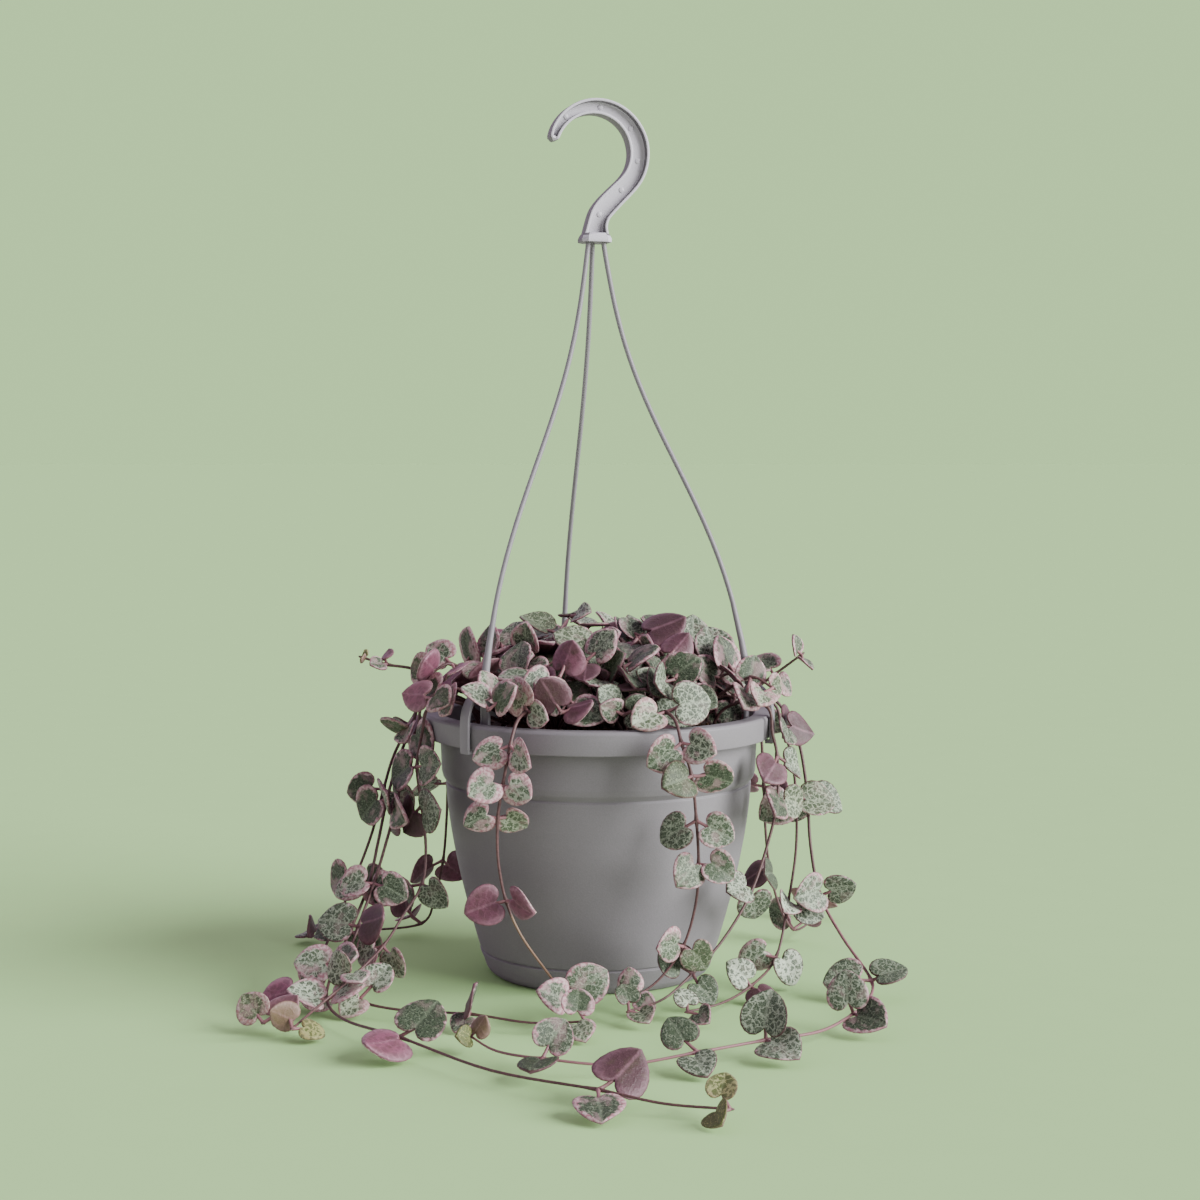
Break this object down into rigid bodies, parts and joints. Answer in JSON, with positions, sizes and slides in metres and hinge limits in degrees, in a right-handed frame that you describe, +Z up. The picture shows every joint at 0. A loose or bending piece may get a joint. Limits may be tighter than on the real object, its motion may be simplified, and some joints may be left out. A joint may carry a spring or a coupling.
{
  "type": "string of hearts in a hanging pot",
  "caption": "Trailing string of hearts succulent in a grey plastic hanging pot, with a hook on three rods; its vines spill over the rim and lie on the surface round it.",
  "frame": {"origin": "centre of the pot's flat underside, on the surface that it stands on", "axes": "+Z up along the pot's axis to the hook; -Y is the front, where the longest vines lie; +X is the viewer's right"},
  "size_m": [0.2672, 0.3626, 0.374],
  "materials": {
    "pot_plastic": "matt, finely speckled moulded plastic",
    "hanger_plastic": "smooth moulded plastic",
    "soil": "dark crumbly potting soil",
    "foliage": "fleshy leaves, green marbled with silver, pink at the edges"
  },
  "bodies": {
    "root": {"pot": "pot_plastic", "potting_soil": "soil", "hook": "hanger_plastic", "arm_left": "hanger_plastic", "arm_right": "hanger_plastic", "arm_back": "hanger_plastic", "clump_1": "foliage", "clump_2": "foliage", "clump_3": "foliage", "clump_4": "foliage", "clump_5": "foliage", "clump_6": "foliage", "clump_7": "foliage", "clump_8": "foliage", "vine_left_a": "foliage", "vine_left_b": "foliage", "vine_left_c": "foliage", "vine_left_d": "foliage", "vine_front_left": "foliage", "vine_front_right": "foliage", "vine_right_a": "foliage", "vine_right_b": "foliage", "vine_right_c": "foliage", "vine_back_a": "foliage", "vine_back_b": "foliage", "vine_back_c": "foliage"}
  },
  "joints": []
}
